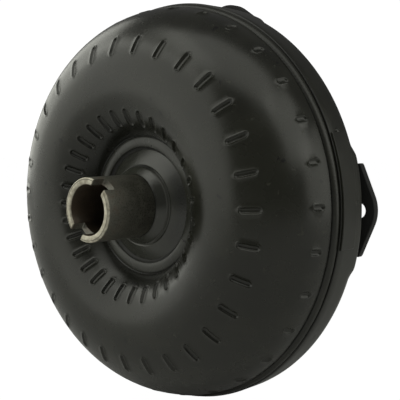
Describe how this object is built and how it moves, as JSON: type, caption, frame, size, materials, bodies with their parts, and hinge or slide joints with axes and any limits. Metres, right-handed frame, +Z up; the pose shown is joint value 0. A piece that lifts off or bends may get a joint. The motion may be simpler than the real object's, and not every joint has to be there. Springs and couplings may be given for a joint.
{
  "type": "torque converter",
  "caption": "Welded torque converter drum with a slotted pump hub, welded mounting lugs and a crank pilot, holding a bladed turbine and a stator on a one-way clutch.",
  "frame": {"origin": "on the shaft axis, in the plane where the lugs meet the flexplate", "axes": "+Y along the shaft towards the engine, -Y towards the transmission, +Z up, first lug towards +X"},
  "size_m": [0.318, 0.1468, 0.314],
  "materials": {
    "shell_paint": "semi-gloss black-green paint on pressed steel",
    "lug_paint": "satin black paint",
    "hub_steel": "turned steel, darkened, worn bright at the open end",
    "machined_steel": "turned steel",
    "blade_steel": "brazed sheet steel",
    "cast_aluminium": "as cast",
    "bearing_steel": "ground and polished",
    "spring_steel": "oiled spring steel",
    "washer_bronze": "plain bronze"
  },
  "bodies": {
    "drum": {"impeller_shell": "shell_paint", "impeller_blades": "blade_steel", "impeller_core_ring": "blade_steel", "pump_hub": "hub_steel", "hub_weld": "shell_paint", "front_cover": "shell_paint", "closure_weld": "shell_paint", "mounting_lug_1": "lug_paint", "mounting_lug_2": "lug_paint", "mounting_lug_3": "lug_paint", "mounting_lug_4": "lug_paint", "lug_welds": "shell_paint", "crank_pilot": "machined_steel", "pilot_weld": "shell_paint", "balance_weight": "shell_paint", "front_bearing_race_front": "bearing_steel", "rear_bearing_race_rear": "bearing_steel"},
    "turbine": {"turbine_shell": "blade_steel", "turbine_blades": "blade_steel", "turbine_core_ring": "blade_steel", "turbine_hub": "machined_steel", "turbine_rivets": "machined_steel", "front_bearing_race_rear": "bearing_steel"},
    "stator": {"stator_wheel": "cast_aluminium", "stator_cap": "machined_steel", "stator_snap_ring": "spring_steel", "clutch_cam": "machined_steel", "clutch_rollers": "bearing_steel", "clutch_springs": "spring_steel", "thrust_washer": "washer_bronze", "rear_bearing_race_front": "bearing_steel"},
    "stator_race": {"clutch_race": "bearing_steel"},
    "front_bearing_cage": {"front_bearing_cage": "spring_steel", "front_bearing_needles": "bearing_steel"},
    "rear_bearing_cage": {"rear_bearing_cage": "spring_steel", "rear_bearing_needles": "bearing_steel"}
  },
  "joints": [
    {"name": "turbine_spin", "type": "hinge", "parent": "drum", "child": "turbine", "pos_m": [0, -0.033, 0], "axis": [0, 1, 0], "continuous": true},
    {"name": "stator_spin", "type": "hinge", "parent": "drum", "child": "stator", "pos_m": [0, -0.0595, 0], "axis": [0, 1, 0], "continuous": true},
    {"name": "race_freewheel", "type": "hinge", "parent": "stator", "child": "stator_race", "pos_m": [0, -0.0595, 0], "axis": [0, 1, 0], "continuous": true},
    {"name": "front_cage_spin", "type": "hinge", "parent": "drum", "child": "front_bearing_cage", "pos_m": [0, -0.01735, 0], "axis": [0, 1, 0], "continuous": true},
    {"name": "rear_cage_spin", "type": "hinge", "parent": "drum", "child": "rear_bearing_cage", "pos_m": [0, -0.07315, 0], "axis": [0, 1, 0], "continuous": true}
  ],
  "couplings": [
    {"joint": "front_cage_spin", "follows": "turbine_spin", "ratio": 0.5},
    {"joint": "rear_cage_spin", "follows": "stator_spin", "ratio": 0.5}
  ]
}
